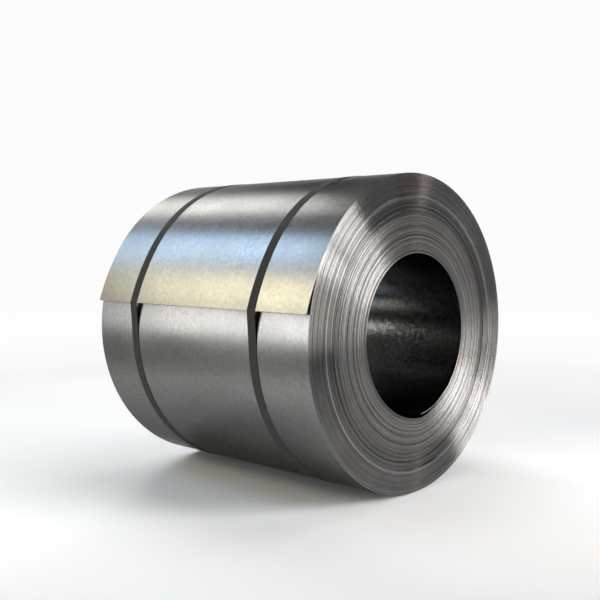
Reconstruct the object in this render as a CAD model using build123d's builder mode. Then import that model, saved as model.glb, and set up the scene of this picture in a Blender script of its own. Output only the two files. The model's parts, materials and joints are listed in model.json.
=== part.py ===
"""Coil of steel strip lying on its side, held by two flat steel straps with crimped seals.

Lengths are in mm. The coil's axis runs along X, the floor is Z = 0 and the tail of the strip,
its sprung outer end, is on the -Y side. Angles are measured round the axis from +Y towards +Z.
"""
import os
from math import acos, atan2, cos, degrees, hypot, radians, sin

from build123d import *

coil_width = 965
coil_outer_radius = 500
bore_radius = 254
strip_thickness = 3

tail_lift_angle = 148
tail_length = 190
tail_curl_share = 0.667
tail_root_share = 0.3

head_lift_angle = 318
head_length = 195
head_curl_share = 0.865
head_root_share = 0.3
head_return_angle = 215

turn_weave = 6
turn_shares = [
    (0.02, 0.50),
    (0.26, 0.40),
    (0.28, 1.00),
    (0.31, 1.00),
    (0.33, 0.38),
    (0.42, 0.34),
    (0.43, 0.00),
    (0.45, 0.00),
    (0.46, 0.60),
    (0.51, 0.74),
    (0.53, 0.44),
    (0.61, 0.62),
    (0.63, 0.36),
    (0.72, 0.66),
    (0.74, 0.42),
    (0.86, 0.70),
    (0.88, 0.48),
    (0.98, 0.58),
]

strap_width = 32
strap_thickness = 1
strap_clearance = 0.2
far_strap_place = -286
near_strap_place = 266
strap_lap_length = 130

seal_angle = 50
seal_length = 57
seal_thickness = 1
seal_clearance = 0.2
notch_radius = 4
notch_pitch = 26

lower_lap_centre = strip_thickness / 2
lower_lap_radius = coil_outer_radius - strip_thickness / 2
axis_height = lower_lap_radius + strap_clearance + strap_thickness


def polar(radius, angle):
    """The point at a radius and an angle round the coil's axis."""
    return Vector(radius * cos(radians(angle)), radius * sin(radians(angle)))


def angle_of(point):
    """The angle of a point round the coil's axis."""
    return degrees(atan2(point.Y, point.X)) % 360


def cross_plane(place):
    """The plane across the coil at a place along its axis."""
    return Plane(origin=(place, 0, axis_height), x_dir=(0, 1, 0), z_dir=(1, 0, 0))


# The outer end of the strip: it leaves the round of the coil and keeps a flatter curve.
tail_relaxed_radius = coil_outer_radius / tail_curl_share
tail_centre = polar(coil_outer_radius - tail_relaxed_radius, tail_lift_angle)
tail_span = degrees(tail_length / tail_relaxed_radius)
tail_tip = tail_centre + polar(tail_relaxed_radius, tail_lift_angle + tail_span)
tail_inner_radius = tail_relaxed_radius - strip_thickness
tail_root_angle = tail_lift_angle + tail_span * tail_root_share
tail_root = tail_centre + polar(tail_inner_radius, tail_root_angle)
lap_root_angle = angle_of(tail_root)

# The inner end of the strip: a flap on the bore, with the next turn falling back behind it.
flap_radius = bore_radius + strip_thickness
head_wall_radius = flap_radius / head_curl_share
head_wall_centre = polar(flap_radius - head_wall_radius, head_lift_angle)
head_span = degrees(head_length / head_wall_radius)
head_wall_end = head_wall_centre + polar(head_wall_radius, head_lift_angle - head_span)
head_root_angle = head_lift_angle - head_span * head_root_share
head_root = head_wall_centre + polar(head_wall_radius, head_root_angle)
flap_root_angle = angle_of(head_root)
flap_tip_angle = angle_of(head_wall_end)

# The edges of the turns on the two ends: a turn that stands proud at one end is set back at the other.
build_up = coil_outer_radius - bore_radius
turn_radii = [coil_outer_radius - build_up * radius_share for radius_share, weave_share in turn_shares]
turn_sets = [turn_weave * weave_share for radius_share, weave_share in turn_shares]
rim_radius = coil_outer_radius + tail_length
end_plane = Plane(origin=(0, 0, axis_height), x_dir=(1, 0, 0), z_dir=(0, -1, 0))
coil_axis = Axis((0, 0, axis_height), (1, 0, 0))


def end_cut(end_face, set_backs, beyond):
    """Trim one end of the coil to the edges of its turns."""
    edge_points = [(end_face - back, radius) for back, radius in zip(set_backs, turn_radii)]
    first_set, last_set = edge_points[0][0], edge_points[-1][0]
    with BuildSketch(end_plane) as trim:
        with BuildLine():
            Polyline(
                (beyond, rim_radius),
                (first_set, rim_radius),
                *edge_points,
                (last_set, 0),
                (beyond, 0),
                close=True,
            )
        make_face()
    revolve(trim.sketch, axis=coil_axis, mode=Mode.SUBTRACT)


with BuildPart() as coil:
    with BuildSketch(cross_plane(-coil_width / 2)):
        with BuildLine():
            CenterArc((0, 0), coil_outer_radius, 0, tail_lift_angle)
            tail_outside = CenterArc(tail_centre, tail_relaxed_radius, tail_lift_angle, tail_span)
            tail_inside = CenterArc(
                tail_centre, tail_inner_radius, tail_root_angle, tail_span * (1 - tail_root_share)
            )
            Line(tail_outside @ 1, tail_inside @ 1)
            under_lap = CenterArc(
                (0, 0), coil_outer_radius - strip_thickness, lap_root_angle, 180 - lap_root_angle
            )
            Line(tail_inside @ 0, under_lap @ 0)
            CenterArc((lower_lap_centre, 0), lower_lap_radius, 180, 180)
        make_face()
        with BuildLine():
            bore_wall = CenterArc(
                (0, 0), bore_radius, flap_tip_angle, 360 + head_return_angle - flap_tip_angle
            )
            TangentArc(
                bore_wall @ 1, head_wall_end, tangent=polar(1, head_return_angle + 90)
            )
            head_wall = CenterArc(
                head_wall_centre,
                head_wall_radius,
                head_lift_angle - head_span,
                head_span * (1 - head_root_share),
            )
            flap_back = CenterArc(
                (0, 0), flap_radius, flap_tip_angle, flap_root_angle - flap_tip_angle
            )
            Line(head_wall @ 1, flap_back @ 1)
            Line(flap_back @ 0, bore_wall @ 0)
        make_face(mode=Mode.SUBTRACT)
    extrude(amount=coil_width)
    end_cut(coil_width / 2, [turn_weave - turn_set for turn_set in turn_sets], coil_width)
    end_cut(-coil_width / 2, [-turn_set for turn_set in turn_sets], -coil_width)
coil.part.label = "coil"


def strap_band(place):
    """A strap round the coil: over the tail, straight from its tip to the lap below, and lapped on itself."""
    tip_reach = hypot(tail_tip.X - lower_lap_centre, tail_tip.Y)
    tip_angle = degrees(atan2(tail_tip.Y, tail_tip.X - lower_lap_centre))
    touch_angle = tip_angle + degrees(acos(lower_lap_radius / tip_reach))
    lap_span = degrees(strap_lap_length / coil_outer_radius)
    lap_inner_radius = coil_outer_radius + strap_clearance + strap_thickness / 2
    lap_outer_radius = coil_outer_radius + strap_clearance + strap_thickness * 2
    with BuildSketch(cross_plane(place - strap_width / 2)) as band:
        with BuildLine():
            CenterArc((0, 0), coil_outer_radius, 0, tail_lift_angle)
            over_tail = CenterArc(tail_centre, tail_relaxed_radius, tail_lift_angle, tail_span)
            below = CenterArc(
                (lower_lap_centre, 0), lower_lap_radius, touch_angle, 360 - touch_angle
            )
            Line(over_tail @ 1, below @ 0)
        outline = make_face()
        offset(outline, amount=strap_clearance + strap_thickness, mode=Mode.ADD)
        with BuildLine():
            lap_inside = CenterArc((0, 0), lap_inner_radius, seal_angle - lap_span / 2, lap_span)
            lap_outside = CenterArc((0, 0), lap_outer_radius, seal_angle - lap_span / 2, lap_span)
            Line(lap_inside @ 0, lap_outside @ 0)
            Line(lap_inside @ 1, lap_outside @ 1)
        make_face()
        offset(outline, amount=strap_clearance, mode=Mode.SUBTRACT)
    extrude(band.sketch, amount=strap_width)


with BuildPart() as strap_far:
    strap_band(far_strap_place)
strap_far.part.label = "strap_far"

with BuildPart() as strap_near:
    strap_band(near_strap_place)
strap_near.part.label = "strap_near"


def seal_block(place, inner_radius, outer_radius, length):
    """The outline of a curved block over the lapped ends of a strap, on a plane across the coil."""
    span = degrees(length / coil_outer_radius)
    with BuildSketch(cross_plane(place)) as block:
        with BuildLine():
            inside = CenterArc((0, 0), inner_radius, seal_angle - span / 2, span)
            outside = CenterArc((0, 0), outer_radius, seal_angle - span / 2, span)
            Line(inside @ 0, outside @ 0)
            Line(inside @ 1, outside @ 1)
        make_face()
    return block.sketch


def crimped_seal(place):
    """A seal: a channel folded over the strap's ends, with crimp notches in its two edges."""
    foot_radius = coil_outer_radius + seal_clearance
    crown_radius = coil_outer_radius + strap_clearance + strap_thickness * 2 + seal_clearance
    top_radius = crown_radius + seal_thickness
    channel_width = strap_width + seal_clearance * 2
    seal_width = channel_width + seal_thickness * 2
    body = seal_block(place - seal_width / 2, foot_radius, top_radius, seal_length)
    extrude(body, amount=seal_width)
    channel = seal_block(place - channel_width / 2, coil_outer_radius, crown_radius, seal_length * 2)
    extrude(channel, amount=channel_width, mode=Mode.SUBTRACT)
    outward = polar(1, seal_angle)
    crown = polar(top_radius, seal_angle)
    crown_plane = Plane(
        origin=(place, crown.X, axis_height + crown.Y),
        x_dir=(1, 0, 0),
        z_dir=(0, outward.X, outward.Y),
    )
    with BuildSketch(crown_plane) as notches:
        with GridLocations(seal_width, notch_pitch, 2, 2):
            Circle(notch_radius)
    extrude(notches.sketch, amount=seal_length, both=True, mode=Mode.SUBTRACT)


with BuildPart() as seal_far:
    crimped_seal(far_strap_place)
seal_far.part.label = "seal_far"

with BuildPart() as seal_near:
    crimped_seal(near_strap_place)
seal_near.part.label = "seal_near"

os.makedirs("parts", exist_ok=True)
export_step(coil.part, "parts/coil.step")
export_step(strap_far.part, "parts/strap_far.step")
export_step(strap_near.part, "parts/strap_near.step")
export_step(seal_far.part, "parts/seal_far.step")
export_step(seal_near.part, "parts/seal_near.step")
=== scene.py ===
"""Coil of steel strip lying on its side, held by two strapping bands, on a plain studio floor.

Lengths are in metres. Angles are in degrees round the coil's axis, from +Y towards +Z. A turn angle runs
the way the strip is wound in, from the tip of its tail.
"""
import json
import random
from collections import namedtuple
from math import acos, atan2, cos, degrees, pi, radians, sin, sqrt, tan

import bmesh
import bpy
from mathutils import Matrix, Vector, noise


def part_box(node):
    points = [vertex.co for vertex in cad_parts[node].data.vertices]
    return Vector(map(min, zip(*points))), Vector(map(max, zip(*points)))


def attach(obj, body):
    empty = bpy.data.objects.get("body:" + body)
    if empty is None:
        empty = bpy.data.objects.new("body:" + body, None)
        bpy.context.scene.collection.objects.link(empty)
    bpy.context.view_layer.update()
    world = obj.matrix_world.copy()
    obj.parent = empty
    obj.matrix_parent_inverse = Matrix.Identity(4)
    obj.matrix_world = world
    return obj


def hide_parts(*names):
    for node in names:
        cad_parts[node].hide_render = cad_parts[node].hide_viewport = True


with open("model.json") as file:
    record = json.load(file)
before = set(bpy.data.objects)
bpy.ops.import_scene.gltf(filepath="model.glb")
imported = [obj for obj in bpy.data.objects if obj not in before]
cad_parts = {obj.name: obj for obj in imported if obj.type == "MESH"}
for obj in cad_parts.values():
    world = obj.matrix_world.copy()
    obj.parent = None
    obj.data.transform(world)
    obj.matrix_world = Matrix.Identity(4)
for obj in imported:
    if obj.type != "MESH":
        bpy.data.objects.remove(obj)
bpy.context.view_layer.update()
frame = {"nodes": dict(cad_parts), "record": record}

MM = 0.001

# The coil.
COIL_WIDTH = 965 * MM
OUTER_RADIUS = 500 * MM
BORE_RADIUS = 254 * MM
STRIP = 3 * MM
BORE_MOUNT = next(mount for mount in frame["record"]["mounts"] if mount["name"] == "bore")
AXIS_HEIGHT = BORE_MOUNT["pos_m"][2]

# The sprung ends of the strip: the tail outside and the head in the bore.
TAIL_LIFT_ANGLE = 148
TAIL_LENGTH = 190 * MM
TAIL_CURL_SHARE = 0.667
TAIL_ROOT_SHARE = 0.3
HEAD_LIFT_ANGLE = 318
HEAD_LENGTH = 195 * MM
HEAD_CURL_SHARE = 0.865
HEAD_ROOT_SHARE = 0.3
HEAD_RETURN_ANGLE = 215

# How the turns stand on the near end: a share of the depth from the wrap, and a share of the weave.
TURN_WEAVE = 6 * MM
TURN_SHARES = [
    (0.02, 0.50),
    (0.27, 0.40),
    (0.283, 1.00),
    (0.302, 1.00),
    (0.315, 0.38),
    (0.42, 0.34),
    (0.43, 0.00),
    (0.45, 0.00),
    (0.46, 0.60),
    (0.51, 0.74),
    (0.53, 0.44),
    (0.61, 0.62),
    (0.63, 0.36),
    (0.72, 0.66),
    (0.74, 0.42),
    (0.86, 0.70),
    (0.88, 0.48),
    (0.98, 0.58),
]

# The relief of the turns on the ends.
TURN_STEPS = 144
STEP_CLEAR_SHARE = 0.25
EDGE_BEVEL = 0.35 * MM
OUTER_GROOVE_DEPTH = 0.45 * MM
INNER_GROOVE_DEPTH = 1.2 * MM
GROOVE_CHANGE_SHARE = 0.47

# How far the turns stray along the axis, each by itself, in bunches and slowly round the coil.
SEED = 41
TURN_SCATTER = 0.15 * MM
BUNCH_SCATTER_INNER = 0.9 * MM
BUNCH_SCATTER_OUTER = 0.2 * MM
BUNCH_CHANGE_SHARE = 0.42
BUNCH_TURNS = (2, 5)
SET_BACK_INNER = (0.6 * MM, 1.8 * MM)
SET_BACK_OUTER = (0.1 * MM, 0.6 * MM)
SLOW_SCATTER = 0.7 * MM
SLOW_REACH = 1.1
SLOW_PACE = 0.33

# The straps and their seals. The route's steps and gaps are in degrees.
STRAP_NODES = ("strap_far", "strap_near")
SEAL_NODES = ("seal_far", "seal_near")
STRAP_THICKNESS = 1 * MM
STRAP_CLEARANCE = 0.2 * MM
STRAP_LAP = 130 * MM
STRAP_BEVEL = 0.2 * MM
SEAL_ANGLE = 50
SEAL_BEVEL = 0.25 * MM
SEAL_BEVEL_STEPS = 2
ROUTE_STEP = 2
ROUTE_LEAST_STEPS = 2
ROUTE_GAP = 1
TIP_GAP = 0.3
LAP_GAP = 0.5
LAP_RISE_SHARE = 0.55
BRIDGE_SHARES = (0.06, 0.35, 0.65)

# Edges sharper than these angles are drawn as creases.
CREASE_ANGLE = 30
ROUNDED_ANGLE = 85

WHITE = (1, 1, 1)


def polar(radius, angle):
    """The point at a radius and an angle round the coil's axis, as (y, z) from the axis."""
    return Vector((radius * cos(radians(angle)), radius * sin(radians(angle))))


def angle_of(point):
    """The angle of a (y, z) point round the coil's axis."""
    return degrees(atan2(point.y, point.x)) % 360


def reach(angle, centre, radius):
    """How far from the axis the ray at an angle meets a circle that goes round the axis."""
    along = centre.dot(polar(1, angle))
    return along + sqrt(radius**2 - centre.length_squared + along**2)


def level_at(table, place):
    """The level at a place in a table of places and levels, straight between its rows."""
    if place <= table[0][0]:
        return table[0][1]
    for (place_a, level_a), (place_b, level_b) in zip(table, table[1:]):
        if place <= place_b:
            return level_a + (level_b - level_a) * (place - place_a) / (place_b - place_a)
    return table[-1][1]


# The outer end of the strip.
tail_radius = OUTER_RADIUS / TAIL_CURL_SHARE
tail_centre = polar(OUTER_RADIUS - tail_radius, TAIL_LIFT_ANGLE)
tail_span = degrees(TAIL_LENGTH / tail_radius)
tail_tip = tail_centre + polar(tail_radius, TAIL_LIFT_ANGLE + tail_span)
tip_angle = angle_of(tail_tip)
tail_root = tail_centre + polar(tail_radius - STRIP, TAIL_LIFT_ANGLE + tail_span * TAIL_ROOT_SHARE)
lower_centre = Vector((STRIP / 2, 0))
lower_radius = OUTER_RADIUS - STRIP / 2

# The inner end of the strip, a flap on the bore, and the turn that falls back behind it.
flap_radius = BORE_RADIUS + STRIP
wall_radius = flap_radius / HEAD_CURL_SHARE
wall_centre = polar(flap_radius - wall_radius, HEAD_LIFT_ANGLE)
head_span = degrees(HEAD_LENGTH / wall_radius)
wall_end = wall_centre + polar(wall_radius, HEAD_LIFT_ANGLE - head_span)
wall_root = wall_centre + polar(wall_radius, HEAD_LIFT_ANGLE - head_span * HEAD_ROOT_SHARE)
return_way = polar(1, HEAD_RETURN_ANGLE)
return_rise = wall_end.length_squared - BORE_RADIUS**2
return_offset = return_rise / (2 * (wall_end.dot(return_way) - BORE_RADIUS))
return_centre = return_way * return_offset
return_radius = BORE_RADIUS - return_offset


def turn_at(angle):
    """The turn angle of an angle round the axis."""
    return (tip_angle - angle) % 360


tail_root_turn = turn_at(angle_of(tail_root))
tail_lift_turn = turn_at(TAIL_LIFT_ANGLE)
flap_lift_turn = turn_at(HEAD_LIFT_ANGLE)
flap_root_turn = turn_at(angle_of(wall_root))
flap_tip_turn = turn_at(angle_of(wall_end))
return_turn = turn_at(HEAD_RETURN_ANGLE)

build_up = OUTER_RADIUS - BORE_RADIUS
last_layer = round(build_up / STRIP) - 1


def outline_radius(turn):
    """The outside of the wound strip at a turn angle, without the tail's spring."""
    angle = tip_angle - turn
    if angle >= 0:
        return OUTER_RADIUS
    if angle >= -180:
        return reach(angle, lower_centre, lower_radius)
    return OUTER_RADIUS - STRIP


def bore_wall_radius(turn):
    """The inside of the last whole turn at a turn angle."""
    angle = tip_angle - turn
    if flap_lift_turn < turn <= flap_tip_turn:
        return reach(angle, wall_centre, wall_radius)
    if flap_tip_turn < turn < return_turn:
        return reach(angle, return_centre, return_radius)
    return BORE_RADIUS


def strip_radii(layer, turn):
    """The outer and inner radius of one turn of the strip."""
    angle = tip_angle - turn
    outside = outline_radius(turn)
    if layer == 0 and turn < tail_lift_turn:
        return reach(angle, tail_centre, tail_radius), reach(angle, tail_centre, tail_radius - STRIP)
    if layer == 0:
        return outside, outside - STRIP
    if layer == last_layer and turn > flap_lift_turn:
        return flap_radius, BORE_RADIUS
    layers = last_layer if turn <= flap_lift_turn else last_layer - 1
    pitch = (outside - STRIP - bore_wall_radius(turn)) / layers
    outer = outside - STRIP - pitch * (layer - 1)
    return outer, outer - pitch


def weave_share(radius):
    """How far a turn at a radius stands towards the near end, from 0 to 1."""
    return level_at(TURN_SHARES, (OUTER_RADIUS - radius) / build_up)


rng = random.Random(SEED)


def winding_offsets(count):
    """How far each turn strays along the axis: bunches lie level, with a turn set back after each."""
    offsets = []
    while len(offsets) < count:
        outside = len(offsets) < BUNCH_CHANGE_SHARE * count
        bunch = rng.gauss(0, BUNCH_SCATTER_OUTER if outside else BUNCH_SCATTER_INNER)
        for turn in range(rng.randint(*BUNCH_TURNS)):
            offsets.append(bunch + rng.gauss(0, TURN_SCATTER))
        offsets.append(bunch - rng.uniform(*(SET_BACK_OUTER if outside else SET_BACK_INNER)))
    return offsets[:count]


turn_offsets = winding_offsets(last_layer + 3)


def edge_place(layer, turn, radius):
    """Where the near edge of a turn lies along the axis."""
    step = turn / 360
    stray = turn_offsets[layer] * (1 - step) + turn_offsets[layer + 1] * step
    around = polar(SLOW_REACH, tip_angle - turn)
    slow = noise.noise(Vector((around.x, around.y, (layer + step) * SLOW_PACE)))
    place = weave_share(radius) * TURN_WEAVE + stray + slow * SLOW_SCATTER
    return COIL_WIDTH / 2 - TURN_WEAVE + min(max(place, 0), TURN_WEAVE)


def make_object(name, vertices, faces, material_of, materials, rounded=None):
    """A mesh object with outward normals, in which one material's small corners look round."""
    mesh = bpy.data.meshes.new(name)
    mesh.from_pydata(vertices, [], faces)
    for material in materials:
        mesh.materials.append(material)
    mesh.polygons.foreach_set("material_index", material_of)
    shape = bmesh.new()
    shape.from_mesh(mesh)
    bmesh.ops.recalc_face_normals(shape, faces=shape.faces)
    for edge in shape.edges:
        indices = {beside.material_index for beside in edge.link_faces}
        limit = ROUNDED_ANGLE if indices == {rounded} else CREASE_ANGLE
        edge.smooth = edge.calc_face_angle(0) < radians(limit)
    for side in shape.faces:
        side.smooth = True
    shape.to_mesh(mesh)
    shape.free()
    made = bpy.data.objects.new(name, mesh)
    bpy.context.scene.collection.objects.link(made)
    return made


def set_values(made, name, values):
    """A value at each point of an object, for its material to read."""
    made.data.attributes.new(name, "FLOAT", "POINT").data.foreach_set("value", values)


# The grain that the wrap and the bore share, and the middle span of a noise.
GRAIN_SCALE = 85
GRAIN_DETAIL = 4
GRAIN_ROUGHNESS = 0.6
GRAIN_HEIGHT = 0.6 * MM
NOISE_DETAIL = 3
NOISE_ROUGHNESS = 0.55
FINE_DETAIL = 2
MIDDLE_SPAN = (0.3, 0.7)
GRAIN_SPAN = (0.35, 0.65)

# The wrap: satin bare strip.
GRAZING_TINT = (0.35, 0.35, 0.34, 1)
WRAP_SPAN = (0.32, 0.68)
WRAP_COLOURS = ((0.208, 0.206, 0.201), (0.262, 0.259, 0.253))
WRAP_STREAK_STRETCH = (140, 3, 3)
WRAP_STREAK_COLOURS = ((0.965, 0.965, 0.965), WHITE)
WRAP_SMUDGE_SCALE = 4.5
WRAP_ROUGHNESS = (0.25, 0.33)
WRAP_BUMP = 0.04

# The edges of the turns: tones by the share of the depth from the wrap to the bore.
RING_TONES = [
    (0.0, 0.54),
    (0.265, 0.51),
    (0.285, 0.92),
    (0.302, 0.9),
    (0.32, 0.51),
    (0.38, 0.45),
    (0.47, 0.47),
    (0.49, 0.7),
    (0.53, 0.66),
    (0.55, 0.6),
    (0.7, 0.68),
    (1.0, 0.73),
]
RING_SCALE = 0.42
RING_MIDDLE = 0.5
RING_CHANGE_SPAN = (0.35, 0.5)
RING_CHANGE = (0.45, 1)
RING_SPAN = (0.36, 0.64)
RING_COLOURS = ((0.19, 0.179, 0.171), (0.47, 0.467, 0.464))
PATCH_SCALE = 9
PATCH_COLOURS = ((0.82, 0.8, 0.78), WHITE)
EDGE_ROUGHNESS_SPAN = (0.4, 0.55)
EDGE_ROUGHNESS = (0.12, 0.25)
BURR_SCALE = 170
BURR_BUMP = 0.15
BURR_HEIGHT = 1 * MM

# The bore: the strip painted darker than the wrap, as painted shade for the inside of the bore, in random
# patches.
BORE_SHADED_COLOURS = ((0.115, 0.115, 0.113), (0.275, 0.275, 0.271))
FILM_SCALE = 7
FILM_COLOURS = ((0.75, 0.74, 0.72), WHITE)
BORE_ROUGHNESS = (0.13, 0.21)
BORE_BUMP = 0.1

# The strapping and the seals: dark satin paint.
MOTTLE_SCALE = 60
STRAP_STREAK_STRETCH = (420, 6, 6)
STRAP_STREAK_COLOURS = ((0.85, 0.85, 0.85), WHITE)
WORN_SPAN = (0.9, 1)
WORN_LEVELS = (0, 0.35)
WORN_COLOUR = (0.11, 0.109, 0.105, 1)
STRAP_COLOURS = ((0.031, 0.03, 0.028), (0.047, 0.046, 0.043))
STRAP_GLOSS = 0.06
STRAP_ROUGHNESS = (0.75, 0.9)
SEAL_COLOURS = ((0.07, 0.071, 0.072), (0.1, 0.101, 0.102))
SEAL_GLOSS = 0.4
SEAL_ROUGHNESS = (0.42, 0.55)


def add_node(tree, kind, links=(), **values):
    """A shader node with its settings, its input values and its links."""
    node = tree.nodes.new(kind)
    for key, value in values.items():
        if key in node.inputs:
            node.inputs[key].default_value = value
        else:
            setattr(node, key, value)
    for socket, source in links:
        tree.links.new(source, node.inputs[socket])
    return node


def new_material(name, **values):
    """A material with a principled shader and its plain values."""
    material = bpy.data.materials.new(name)
    material.use_nodes = True
    shader = material.node_tree.nodes["Principled BSDF"]
    for key, value in values.items():
        shader.inputs[key.replace("_", " ")].default_value = value
    return material, material.node_tree, shader


def object_place(tree):
    """The place on the object, in metres."""
    return tree.nodes.new("ShaderNodeTexCoord").outputs["Object"]


def value_of(tree, name):
    """A value that the mesh holds at its points."""
    return add_node(tree, "ShaderNodeAttribute", attribute_name=name).outputs["Fac"]


def ramp(tree, source, span, colours):
    """A colour between two colours, over a span of a value."""
    node = add_node(tree, "ShaderNodeValToRGB", [("Fac", source)])
    for stop, position, colour in zip(node.color_ramp.elements, span, colours):
        stop.position = position
        stop.color = (*colour, 1)
    return node.outputs["Color"]


def spread(tree, source, span, levels):
    """A value moved from one span to another."""
    node = add_node(tree, "ShaderNodeMapRange", [("Value", source)])
    node.inputs["From Min"].default_value, node.inputs["From Max"].default_value = span
    node.inputs["To Min"].default_value, node.inputs["To Max"].default_value = levels
    return node.outputs["Result"]


def noise_of(tree, vector, scale, detail=NOISE_DETAIL, roughness=NOISE_ROUGHNESS):
    """A noise value over a vector."""
    links = [("Vector", vector)]
    node = add_node(tree, "ShaderNodeTexNoise", links, Scale=scale, Detail=detail, Roughness=roughness)
    return node.outputs["Fac"]


def grain_of(tree, place):
    """The fine mottled grain of the strip."""
    return noise_of(tree, place, GRAIN_SCALE, GRAIN_DETAIL, GRAIN_ROUGHNESS)


def streaks_of(tree, place, stretch):
    """Fine streaks, drawn out by a different scale along each axis."""
    node = add_node(tree, "ShaderNodeMapping", [("Vector", place)], Scale=stretch)
    return noise_of(tree, node.outputs["Vector"], 1, FINE_DETAIL)


def mix(tree, kind, factor, first, second):
    """Two values or colours mixed; each of the three is a plain value or a link."""
    node = add_node(tree, "ShaderNodeMix", data_type=kind)
    for socket, value in (("Factor", factor), ("A", first), ("B", second)):
        if isinstance(value, bpy.types.NodeSocket):
            tree.links.new(value, node.inputs[socket])
        else:
            node.inputs[socket].default_value = value
    return node


def multiply(tree, first, second):
    """Two colours multiplied."""
    node = mix(tree, "RGBA", 1, first, second)
    node.blend_type = "MULTIPLY"
    return node.outputs["Result"]


def add_bump(tree, shader, height, strength, distance):
    """A fine relief on the shader."""
    bump = add_node(tree, "ShaderNodeBump", [("Height", height)], Strength=strength, Distance=distance)
    tree.links.new(bump.outputs["Normal"], shader.inputs["Normal"])


def wrap_material():
    """Satin bare strip: a fine mottled grain, faint streaks along the rolling and soft smudges."""
    material, tree, shader = new_material("strip_wrap", Metallic=1, Specular_Tint=GRAZING_TINT)
    place = object_place(tree)
    grain = grain_of(tree, place)
    streaks = streaks_of(tree, place, WRAP_STREAK_STRETCH)
    smudge = noise_of(tree, place, WRAP_SMUDGE_SCALE)
    base = ramp(tree, grain, WRAP_SPAN, WRAP_COLOURS)
    lines = ramp(tree, streaks, GRAIN_SPAN, WRAP_STREAK_COLOURS)
    tree.links.new(multiply(tree, base, lines), shader.inputs["Base Color"])
    tree.links.new(spread(tree, smudge, MIDDLE_SPAN, WRAP_ROUGHNESS), shader.inputs["Roughness"])
    add_bump(tree, shader, grain, WRAP_BUMP, GRAIN_HEIGHT)
    return material


def ring_tones(tree, depth):
    """The tone of the turns' edges over the depth from the wrap to the bore."""
    node = add_node(tree, "ShaderNodeValToRGB", [("Fac", depth)])
    stops = node.color_ramp.elements
    stops.remove(stops[0])
    for position, tone in RING_TONES:
        stop = stops.new(position) if position else stops[0]
        stop.position = position
        stop.color = (tone, tone, tone, 1)
    return node.outputs["Color"]


def edges_material():
    """The cut edges of the turns: brownish steel, uneven from turn to turn."""
    material, tree, shader = new_material("strip_edges", Metallic=1)
    turn = value_of(tree, "turn")
    place = object_place(tree)
    depth = spread(tree, turn, (0, last_layer + 1), (0, 1))
    tones = ring_tones(tree, depth)
    ring = add_node(
        tree,
        "ShaderNodeTexNoise",
        [("W", turn)],
        noise_dimensions="1D",
        Scale=RING_SCALE,
        Detail=FINE_DETAIL,
    )
    contrast = spread(tree, depth, RING_CHANGE_SPAN, RING_CHANGE)
    uneven = mix(tree, "FLOAT", contrast, RING_MIDDLE, ring.outputs["Fac"])
    patch = noise_of(tree, place, PATCH_SCALE)
    burr = noise_of(tree, place, BURR_SCALE, FINE_DETAIL)
    rings = ramp(tree, uneven.outputs["Result"], RING_SPAN, RING_COLOURS)
    patches = ramp(tree, patch, MIDDLE_SPAN, PATCH_COLOURS)
    toned = multiply(tree, rings, tones)
    tree.links.new(multiply(tree, toned, patches), shader.inputs["Base Color"])
    roughness = spread(tree, depth, EDGE_ROUGHNESS_SPAN, EDGE_ROUGHNESS)
    tree.links.new(roughness, shader.inputs["Roughness"])
    add_bump(tree, shader, burr, BURR_BUMP, BURR_HEIGHT)
    return material


def bore_material():
    """The inside of the bore: the strip painted darker than the wrap as painted shade, in random patches,
    with the same mottled grain.
    """
    material, tree, shader = new_material("strip_bore", Metallic=1)
    place = object_place(tree)
    grain = grain_of(tree, place)
    film = noise_of(tree, place, FILM_SCALE)
    # Painted shade: the bore's colours are darker than the wrap's, so the inside of the bore looks shaded.
    base = ramp(tree, grain, GRAIN_SPAN, BORE_SHADED_COLOURS)
    films = ramp(tree, film, MIDDLE_SPAN, FILM_COLOURS)
    tree.links.new(multiply(tree, base, films), shader.inputs["Base Color"])
    tree.links.new(spread(tree, grain, GRAIN_SPAN, BORE_ROUGHNESS), shader.inputs["Roughness"])
    add_bump(tree, shader, grain, BORE_BUMP, GRAIN_HEIGHT)
    return material


def strap_material(name, colours, gloss, roughness):
    """Dark strapping: satin painted steel, rubbed lighter along its edges, streaked along its length."""
    material, tree, shader = new_material(name, Metallic=0, Specular_IOR_Level=gloss)
    place = object_place(tree)
    mottle = noise_of(tree, place, MOTTLE_SCALE)
    streaks = streaks_of(tree, place, STRAP_STREAK_STRETCH)
    base = ramp(tree, mottle, MIDDLE_SPAN, colours)
    lines = ramp(tree, streaks, MIDDLE_SPAN, STRAP_STREAK_COLOURS)
    worn = spread(tree, value_of(tree, "across"), WORN_SPAN, WORN_LEVELS)
    paint = mix(tree, "RGBA", worn, multiply(tree, base, lines), WORN_COLOUR)
    tree.links.new(paint.outputs["Result"], shader.inputs["Base Color"])
    tree.links.new(spread(tree, mottle, MIDDLE_SPAN, roughness), shader.inputs["Roughness"])
    return material


WRAP, EDGES, BORE = 0, 1, 2


def turn_angles():
    """The turn angles of the points along a turn: even steps, and where the strip lifts or ends."""
    marks = [
        0,
        tail_root_turn,
        tail_lift_turn,
        flap_lift_turn,
        flap_root_turn,
        flap_tip_turn,
        return_turn,
    ]
    spacing = 360 / TURN_STEPS
    angles = list(marks)
    for step in range(TURN_STEPS):
        if min(abs(step * spacing - mark) for mark in marks) > spacing * STEP_CLEAR_SHARE:
            angles.append(step * spacing)
    return sorted(angles)


# A column is one place along the strip, counted from the tip of the tail.
turns = turn_angles()
per_turn = len(turns)
tail_root_column = turns.index(tail_root_turn)
head_root_column = (last_layer - 1) * per_turn + turns.index(flap_root_turn)
end_column = last_layer * per_turn + turns.index(flap_tip_turn)


def has_skin(column):
    """Whether the strip's outside is open here: on the wrap, under the tail and behind the flap."""
    return column <= per_turn + tail_root_column or column >= head_root_column + per_turn


def has_lining(column):
    """Whether the strip's inside is open here: under the tail and in the bore."""
    return column <= tail_root_column or column >= head_root_column


def has_groove(column):
    """Whether the strip lies against the next turn here."""
    return tail_root_column <= column <= head_root_column


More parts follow.
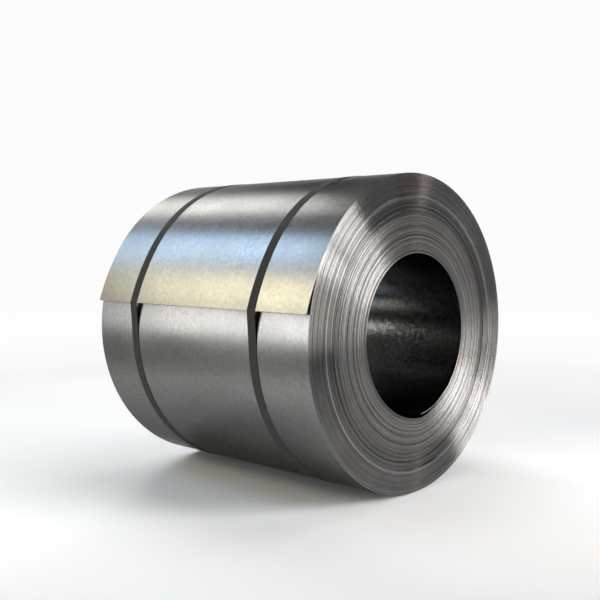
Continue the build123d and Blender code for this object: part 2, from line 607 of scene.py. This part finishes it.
def groove_depth(column):
    """How deep the groove between a turn and the next one is."""
    if column in (tail_root_column, head_root_column):
        return EDGE_BEVEL
    outside = column < GROOVE_CHANGE_SHARE * end_column
    return OUTER_GROOVE_DEPTH if outside else INNER_GROOVE_DEPTH


Column = namedtuple("Column", "angle outer inner place")
End = namedtuple("End", "outs ins grooves skins linings")


def strip_columns():
    """The angle, the two radii and the near edge's place at each column of the strip."""
    columns = []
    for column in range(end_column + 1):
        layer, turn = column // per_turn, turns[column % per_turn]
        outer, inner = strip_radii(layer, turn)
        place = edge_place(layer, turn, (outer + inner) / 2)
        columns.append(Column(tip_angle - turn, outer, inner, place))
    return columns


class StripMesh:
    """The points and faces of the wound strip while it is made."""

    def __init__(self):
        self.columns = strip_columns()
        self.vertices = []
        self.turn_of = []
        self.faces = []
        self.material_of = []

    def point(self, column, radius, along):
        """One more point, at a column of the strip."""
        spot = polar(radius, self.columns[column].angle)
        self.vertices.append((along, spot.x, AXIS_HEIGHT + spot.y))
        self.turn_of.append(column / per_turn)
        return len(self.vertices) - 1

    def face(self, material, *corners):
        """One more face."""
        self.faces.append(corners)
        self.material_of.append(material)

    def quad(self, material, first, second, column, ahead=0):
        """One more face between two rows of points, from a column to the next one."""
        beside = column + ahead
        self.face(material, first[column], first[column + 1], second[beside + 1], second[beside])


def end_points(mesh, side):
    """The points on one end: on each turn's edge, in the grooves and beside the open faces."""
    end = End([], [], {}, {}, {})
    shift = 0 if side == 1 else COIL_WIDTH - TURN_WEAVE
    for column, here in enumerate(mesh.columns):
        place = here.place - shift
        bevelled = place - side * EDGE_BEVEL
        end.outs.append(mesh.point(column, here.outer - EDGE_BEVEL, place))
        end.ins.append(mesh.point(column, here.inner + EDGE_BEVEL, place))
        if has_skin(column):
            end.skins[column] = mesh.point(column, here.outer, bevelled)
        if has_lining(column):
            end.linings[column] = mesh.point(column, here.inner, bevelled)
        if has_groove(column):
            below = mesh.columns[column + per_turn]
            lowest = min(place * side, (below.place - shift) * side) * side
            middle = (here.inner + below.outer) / 2
            end.grooves[column] = mesh.point(column, middle, lowest - side * groove_depth(column))
    return end


def end_faces(mesh, end):
    """The faces on one end: each turn's edge, its bevels and the groove to the next turn."""
    for column in range(end_column):
        mesh.quad(EDGES, end.outs, end.ins, column)
        if has_groove(column) and has_groove(column + 1):
            mesh.quad(EDGES, end.ins, end.grooves, column)
            mesh.quad(EDGES, end.grooves, end.outs, column, per_turn)
        if has_skin(column) and has_skin(column + 1):
            mesh.quad(EDGES, end.outs, end.skins, column)
        if has_lining(column) and has_lining(column + 1):
            mesh.quad(EDGES, end.ins, end.linings, column)
    for root in (tail_root_column, head_root_column):
        lap = root + per_turn
        mesh.face(EDGES, end.ins[root], end.linings[root], end.grooves[root])
        mesh.face(EDGES, end.outs[lap], end.grooves[root], end.skins[lap])


def join_ends(mesh, near, far):
    """The open faces of the strip between its two ends, and its cut ends."""
    for column in range(end_column):
        skin = WRAP if column < end_column / 2 else BORE
        if has_skin(column) and has_skin(column + 1):
            mesh.quad(skin, near.skins, far.skins, column)
        if has_lining(column) and has_lining(column + 1):
            mesh.quad(skin, near.linings, far.linings, column)
    for root, skin in ((tail_root_column, WRAP), (head_root_column, BORE)):
        lap = root + per_turn
        near_corners = (near.linings[root], near.grooves[root], near.skins[lap])
        far_corners = (far.skins[lap], far.grooves[root], far.linings[root])
        mesh.face(skin, *near_corners, *far_corners)
    near_rows = (near.skins, near.outs, near.ins, near.linings)
    far_rows = (far.linings, far.ins, far.outs, far.skins)
    for tip in (0, end_column):
        mesh.face(EDGES, *(row[tip] for row in near_rows + far_rows))


def build_coil():
    """The wound strip: every turn with its two edges, the sprung tail and the flap in the bore."""
    mesh = StripMesh()
    ends = []
    for side in (1, -1):
        end = end_points(mesh, side)
        end_faces(mesh, end)
        ends.append(end)
    join_ends(mesh, *ends)
    materials = [wrap_material(), edges_material(), bore_material()]
    coil = make_object("wound_strip", mesh.vertices, mesh.faces, mesh.material_of, materials, EDGES)
    set_values(coil, "turn", mesh.turn_of)
    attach(coil, "root")
    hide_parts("coil")


def arc_points(centre, radius, first, last):
    """Points along one arc with their outward directions, its two ends included."""
    pieces = max(round((last - first) / ROUTE_STEP), ROUTE_LEAST_STEPS)
    angles = [first + (last - first) * piece / pieces for piece in range(pieces + 1)]
    return [(centre + polar(radius, angle), polar(1, angle)) for angle in angles]


def strap_route():
    """The strap's line on the coil, as points with outward directions and how far each is lifted."""
    axis = Vector((0, 0))
    lap_span = degrees(STRAP_LAP / OUTER_RADIUS)
    start, stop = SEAL_ANGLE - lap_span / 2, SEAL_ANGLE + lap_span / 2
    tail_end = TAIL_LIFT_ANGLE + tail_span
    tip_out = tail_tip - lower_centre
    touch = angle_of(tip_out) + degrees(acos(lower_radius / tip_out.length))
    touch_point = lower_centre + polar(lower_radius, touch)
    bridge = polar(1, touch)

    route = arc_points(axis, OUTER_RADIUS, start, TAIL_LIFT_ANGLE)
    route += arc_points(tail_centre, tail_radius, TAIL_LIFT_ANGLE + ROUTE_GAP, tail_end - TIP_GAP)
    route.append((tail_tip, (polar(1, tail_end) + bridge).normalized()))
    route += [(tail_tip.lerp(touch_point, share), bridge) for share in BRIDGE_SHARES]
    route += arc_points(lower_centre, lower_radius, touch, 360 - ROUTE_GAP)
    route += arc_points(axis, OUTER_RADIUS, 0, start)
    lap = arc_points(axis, OUTER_RADIUS, start + LAP_GAP, stop)

    lifts = [0] * (len(route) - 2)
    lifts += [STRAP_THICKNESS * LAP_RISE_SHARE, STRAP_THICKNESS]
    lifts += [STRAP_THICKNESS] * len(lap)
    return [(spot, outward, lift) for (spot, outward), lift in zip(route + lap, lifts)]


def build_strap(node, material):
    """One strapping band, lapped on itself under its seal."""
    low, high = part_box(node)
    middle, half = (low.x + high.x) / 2, (high.x - low.x) / 2
    section = [
        (-half, STRAP_BEVEL),
        (-half, STRAP_THICKNESS - STRAP_BEVEL),
        (-half + STRAP_BEVEL, STRAP_THICKNESS),
        (half - STRAP_BEVEL, STRAP_THICKNESS),
        (half, STRAP_THICKNESS - STRAP_BEVEL),
        (half, STRAP_BEVEL),
        (half - STRAP_BEVEL, 0),
        (-half + STRAP_BEVEL, 0),
    ]
    route = strap_route()
    corners = len(section)
    vertices, across = [], []
    for spot, outward, lift in route:
        for aside, height in section:
            place = spot + outward * (STRAP_CLEARANCE + lift + height)
            vertices.append((middle + aside, place.x, AXIS_HEIGHT + place.y))
            across.append(abs(aside) / half)
    faces = [tuple(range(corners)), tuple(range(len(vertices) - corners, len(vertices)))]
    for step in range(len(route) - 1):
        first, second = step * corners, (step + 1) * corners
        for corner in range(corners):
            beside = (corner + 1) % corners
            faces.append((first + corner, first + beside, second + beside, second + corner))
    strap = make_object("band_" + node, vertices, faces, [0] * len(faces), [material])
    set_values(strap, "across", across)
    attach(strap, "root")
    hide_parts(node)


def finish_seal(node, material):
    """The paint and the worn edges of one seal."""
    seal = frame["nodes"][node]
    seal.data.materials.clear()
    seal.data.materials.append(material)
    rounding = seal.modifiers.new("worn_edges", "BEVEL")
    rounding.width = SEAL_BEVEL
    rounding.segments = SEAL_BEVEL_STEPS
    rounding.limit_method = "ANGLE"


build_coil()
strap_paint = strap_material("strap_paint", STRAP_COLOURS, STRAP_GLOSS, STRAP_ROUGHNESS)
for strap_node in STRAP_NODES:
    build_strap(strap_node, strap_paint)
seal_paint = strap_material("seal_paint", SEAL_COLOURS, SEAL_GLOSS, SEAL_ROUGHNESS)
for seal_node in SEAL_NODES:
    finish_seal(seal_node, seal_paint)


# The studio: a pale floor that runs up into a white wall behind the coil and a greyer one elsewhere.
FLOOR_RADIUS = 6
COVE_RADIUS = 2
WALL_HEIGHT = 4.1
FLOOR_EYE = 0.001
FLOOR_STEPS = 60
COVE_STEPS = 10
STUDIO_STEPS = 360
PAPER_ROUGHNESS = 0.9
PAPER_GLOSS = 0.1

# The white part spreads out from below the camera: its half angles, and the angle it is centred on.
VIEW_FOOT = Vector((1.97, -2.08))
VIEW_ANGLE = 132
VIEW_SPANS = [(2.2, 22), (4.5, 27)]
SIDE_SPANS = [(2.2, 30), (4.5, 36)]

# How bright and how pale the paper is, by the distance from the coil, in the white part and elsewhere.
VIEW_GLOW = [
    (0.7, 0),
    (1.2, 0.1),
    (1.7, 0.33),
    (2.2, 0.54),
    (3.2, 0.82),
    (4.5, 0.95),
    (FLOOR_RADIUS, 0.97),
]
SIDE_GLOW = [(1.2, 0), (2.2, 0.1), (4.5, 0.4), (FLOOR_RADIUS, 0.42)]
VIEW_SHADE = [(1.2, 0.9), (3.2, 0.25), (4.5, 0)]
SIDE_SHADE = [(0.8, 0.9), (1.3, 0.5), (2.2, 0.4), (4.5, 0)]


def studio_profile():
    """The radius and height of the studio's sheet, from below the coil to the top of the wall."""
    floor = [max(FLOOR_RADIUS * step / FLOOR_STEPS, FLOOR_EYE) for step in range(FLOOR_STEPS + 1)]
    profile = [(radius, 0) for radius in floor]
    for step in range(1, COVE_STEPS + 1):
        bend = radians(90 * step / COVE_STEPS)
        profile.append((FLOOR_RADIUS + COVE_RADIUS * sin(bend), COVE_RADIUS * (1 - cos(bend))))
    profile.append((FLOOR_RADIUS + COVE_RADIUS, WALL_HEIGHT))
    return profile


def side_share(spot, radius):
    """How far a spot lies outside the white part, from 0 to 1, with a soft change between them."""
    aside = abs((angle_of(spot - VIEW_FOOT) - VIEW_ANGLE + 180) % 360 - 180)
    share = level_at([(level_at(VIEW_SPANS, radius), 0), (level_at(SIDE_SPANS, radius), 1)], aside)
    return share**2 * (3 - 2 * share)


def build_studio():
    """The floor, its cove and the wall, as one turned sheet of paper."""
    profile = studio_profile()
    vertices, glows, shades, faces = [], [], [], []
    for radius, height in profile:
        for step in range(STUDIO_STEPS):
            spot = polar(radius, 360 * step / STUDIO_STEPS)
            vertices.append((spot.x, spot.y, height))
            side = side_share(spot, radius)
            for levels, view, other in ((glows, VIEW_GLOW, SIDE_GLOW), (shades, VIEW_SHADE, SIDE_SHADE)):
                levels.append(level_at(view, radius) * (1 - side) + level_at(other, radius) * side)
    for ring in range(len(profile) - 1):
        first, second = ring * STUDIO_STEPS, (ring + 1) * STUDIO_STEPS
        for step in range(STUDIO_STEPS):
            beside = (step + 1) % STUDIO_STEPS
            faces.append((first + step, first + beside, second + beside, second + step))
    mesh = bpy.data.meshes.new("studio_floor")
    mesh.from_pydata(vertices, [], faces)
    mesh.shade_smooth()
    floor = bpy.data.objects.new("studio_floor", mesh)
    bpy.context.scene.collection.objects.link(floor)
    material, tree, shader = new_material(
        "studio_paper",
        Roughness=PAPER_ROUGHNESS,
        Specular_IOR_Level=PAPER_GLOSS,
        Emission_Color=(*WHITE, 1),
    )
    for name, levels, socket in (("glow", glows, "Emission Strength"), ("shade", shades, "Base Color")):
        set_values(floor, name, levels)
        tree.links.new(value_of(tree, name), shader.inputs[socket])
    mesh.materials.append(material)


build_studio()


# The lamps. A softbox's radiance is that of its face.
OPEN_SPREAD = 180
WIDE_SPREAD = 170

# The wrap mirrors a ring of lamps on the far left: angles round the axis, radii, radiance and colour.
RING_PLACE = -3
RING_SPREAD = 75
RING_LAMPS = [
    ("lamp_back", (63, 87), (1.6, 3.5), 9.6, WHITE),
    ("lamp_blue", (108, 130), (1.6, 4.0), 6.5, (0.55, 0.75, 1)),
    ("lamp_cream", (135, 154), (2.65, 4.8), 7.1, (1, 0.92, 0.65)),
    ("lamp_low", (165, 185), (2.65, 4.8), 5.8, WHITE),
]

# The near end mirrors a stack of lamps on the right: place, size, radiance and the way across.
END_CENTRE = (0.48, 0, 0.5)
RIGHT_SPREAD = 50
RIGHT_COLOUR = (1, 0.99, 0.98)
RIGHT_LAMPS = [
    ("lamp_right_high", (2.96, 0.885, 1.73), (0.85, 2.3), 22, (0.511, -0.742, -0.434)),
    ("lamp_right", (3.23, 0.52, 1.26), (0.5, 2.1), 18, (0.316, -0.583, -0.748)),
    ("lamp_right_low", (3.3, 0.48, 0.85), (1.6, 1.6), 8.5, (0.152, -0.517, -0.843)),
    ("lamp_right_floor", (3.3, 0.3, 0.3), (2, 0.45), 3, (0, 1, 0)),
]

# A narrow lamp for the rosy streak at the top of the near end.
STREAK_PLACE = (2.64, 4.7, 3.07)
STREAK_SIZE = (0.3, 2.6)
STREAK_RADIANCE = 3.8
STREAK_COLOUR = (1, 0.84, 0.77)
STREAK_ACROSS = (0.553, -0.58, 0.598)

# A small lamp behind the far end, for the glint in the bore.
FAR_PLACE = (-2.3, 1.78, 0.66)
FAR_AIM = (-0.3, -0.25, 0.48)
FAR_SIZE = (0.22, 0.9)
FAR_RADIANCE = 100
FAR_SPREAD = 34

# A large lamp overhead, for the floor and the shadow.
KEY_PLACE = (0, 1, 4.2)
KEY_AIM = (0, 0, 0)
KEY_SIZE = (2.6, 2.6)
KEY_RADIANCE = 2.8

AIR_TONE = 0.15


def softbox(name, place, aim, size, radiance, colour=WHITE, across=None, spread_angle=OPEN_SPREAD):
    """A rectangular studio lamp that the camera doesn't see."""
    width, height = size
    lamp = bpy.data.lights.new(name, "AREA")
    lamp.shape = "RECTANGLE"
    lamp.size = width
    lamp.size_y = height
    lamp.spread = radians(spread_angle)
    half = radians(spread_angle / 2)
    focus = 1 if spread_angle > WIDE_SPREAD else tan(half) / (tan(half) - half)
    lamp.energy = radiance * pi * width * height / focus
    lamp.color = colour
    box = bpy.data.objects.new(name, lamp)
    box.location = place
    backward = (Vector(place) - Vector(aim)).normalized()
    sideways = Vector(across) if across else Vector((0, 0, 1)).cross(backward)
    sideways = (sideways - backward * sideways.dot(backward)).normalized()
    upward = backward.cross(sideways)
    box.rotation_mode = "QUATERNION"
    box.rotation_quaternion = Matrix((sideways, upward, backward)).transposed().to_quaternion()
    box.visible_camera = False
    bpy.context.scene.collection.objects.link(box)


def ring_lamp(name, angles, radii, radiance, colour):
    """A lamp on the ring at the left, between two angles and two radii, turned to the coil."""
    first, last = angles
    inner, outer = radii
    angle, radius = (first + last) / 2, (inner + outer) / 2
    spot = polar(radius, angle)
    tangent = polar(1, angle + 90)
    place = (RING_PLACE, spot.x, AXIS_HEIGHT + spot.y)
    size = (radius * radians(last - first), outer - inner)
    across = (0, tangent.x, tangent.y)
    softbox(name, place, (0, 0, AXIS_HEIGHT), size, radiance, colour, across, RING_SPREAD)


for ring_row in RING_LAMPS:
    ring_lamp(*ring_row)
for lamp_name, lamp_place, lamp_size, lamp_radiance, lamp_across in RIGHT_LAMPS:
    softbox(
        lamp_name,
        lamp_place,
        END_CENTRE,
        lamp_size,
        lamp_radiance,
        RIGHT_COLOUR,
        lamp_across,
        RIGHT_SPREAD,
    )
softbox("lamp_streak", STREAK_PLACE, END_CENTRE, STREAK_SIZE, STREAK_RADIANCE, STREAK_COLOUR, STREAK_ACROSS)
softbox("lamp_far", FAR_PLACE, FAR_AIM, FAR_SIZE, FAR_RADIANCE, spread_angle=FAR_SPREAD)
softbox("lamp_key", KEY_PLACE, KEY_AIM, KEY_SIZE, KEY_RADIANCE)

world = bpy.data.worlds.new("studio_air")
bpy.context.scene.world = world
world.use_nodes = True
world.node_tree.nodes["Background"].inputs["Color"].default_value = (AIR_TONE, AIR_TONE, AIR_TONE, 1)


# The camera at the photograph's viewing angle.
CAMERA_AZIMUTH = 43.4035
CAMERA_ELEVATION = 5.3080
CAMERA_DISTANCE = 2.88807
AIM_RIGHT = 0.19214
AIM_UP = 0.08726
LENS = 49.508
SHIFT_X = -0.1


def build_camera():
    """The camera, turned to a point beside the coil's middle."""
    azimuth, elevation = radians(CAMERA_AZIMUTH), radians(CAMERA_ELEVATION)
    back = Vector((sin(azimuth) * cos(elevation), -cos(azimuth) * cos(elevation), sin(elevation)))
    right = (-back).cross(Vector((0, 0, 1))).normalized()
    up = right.cross(-back)
    centre = Vector((0, 0, AXIS_HEIGHT))
    place = centre + back * CAMERA_DISTANCE
    aim = centre + right * AIM_RIGHT + up * AIM_UP
    lens = bpy.data.cameras.new("camera")
    lens.lens = LENS
    lens.shift_x = SHIFT_X
    camera = bpy.data.objects.new("camera", lens)
    camera.location = place
    camera.rotation_mode = "QUATERNION"
    camera.rotation_quaternion = (aim - place).to_track_quat("-Z", "Y")
    bpy.context.scene.collection.objects.link(camera)
    bpy.context.scene.camera = camera


build_camera()
bpy.context.scene.view_settings.view_transform = "Standard"
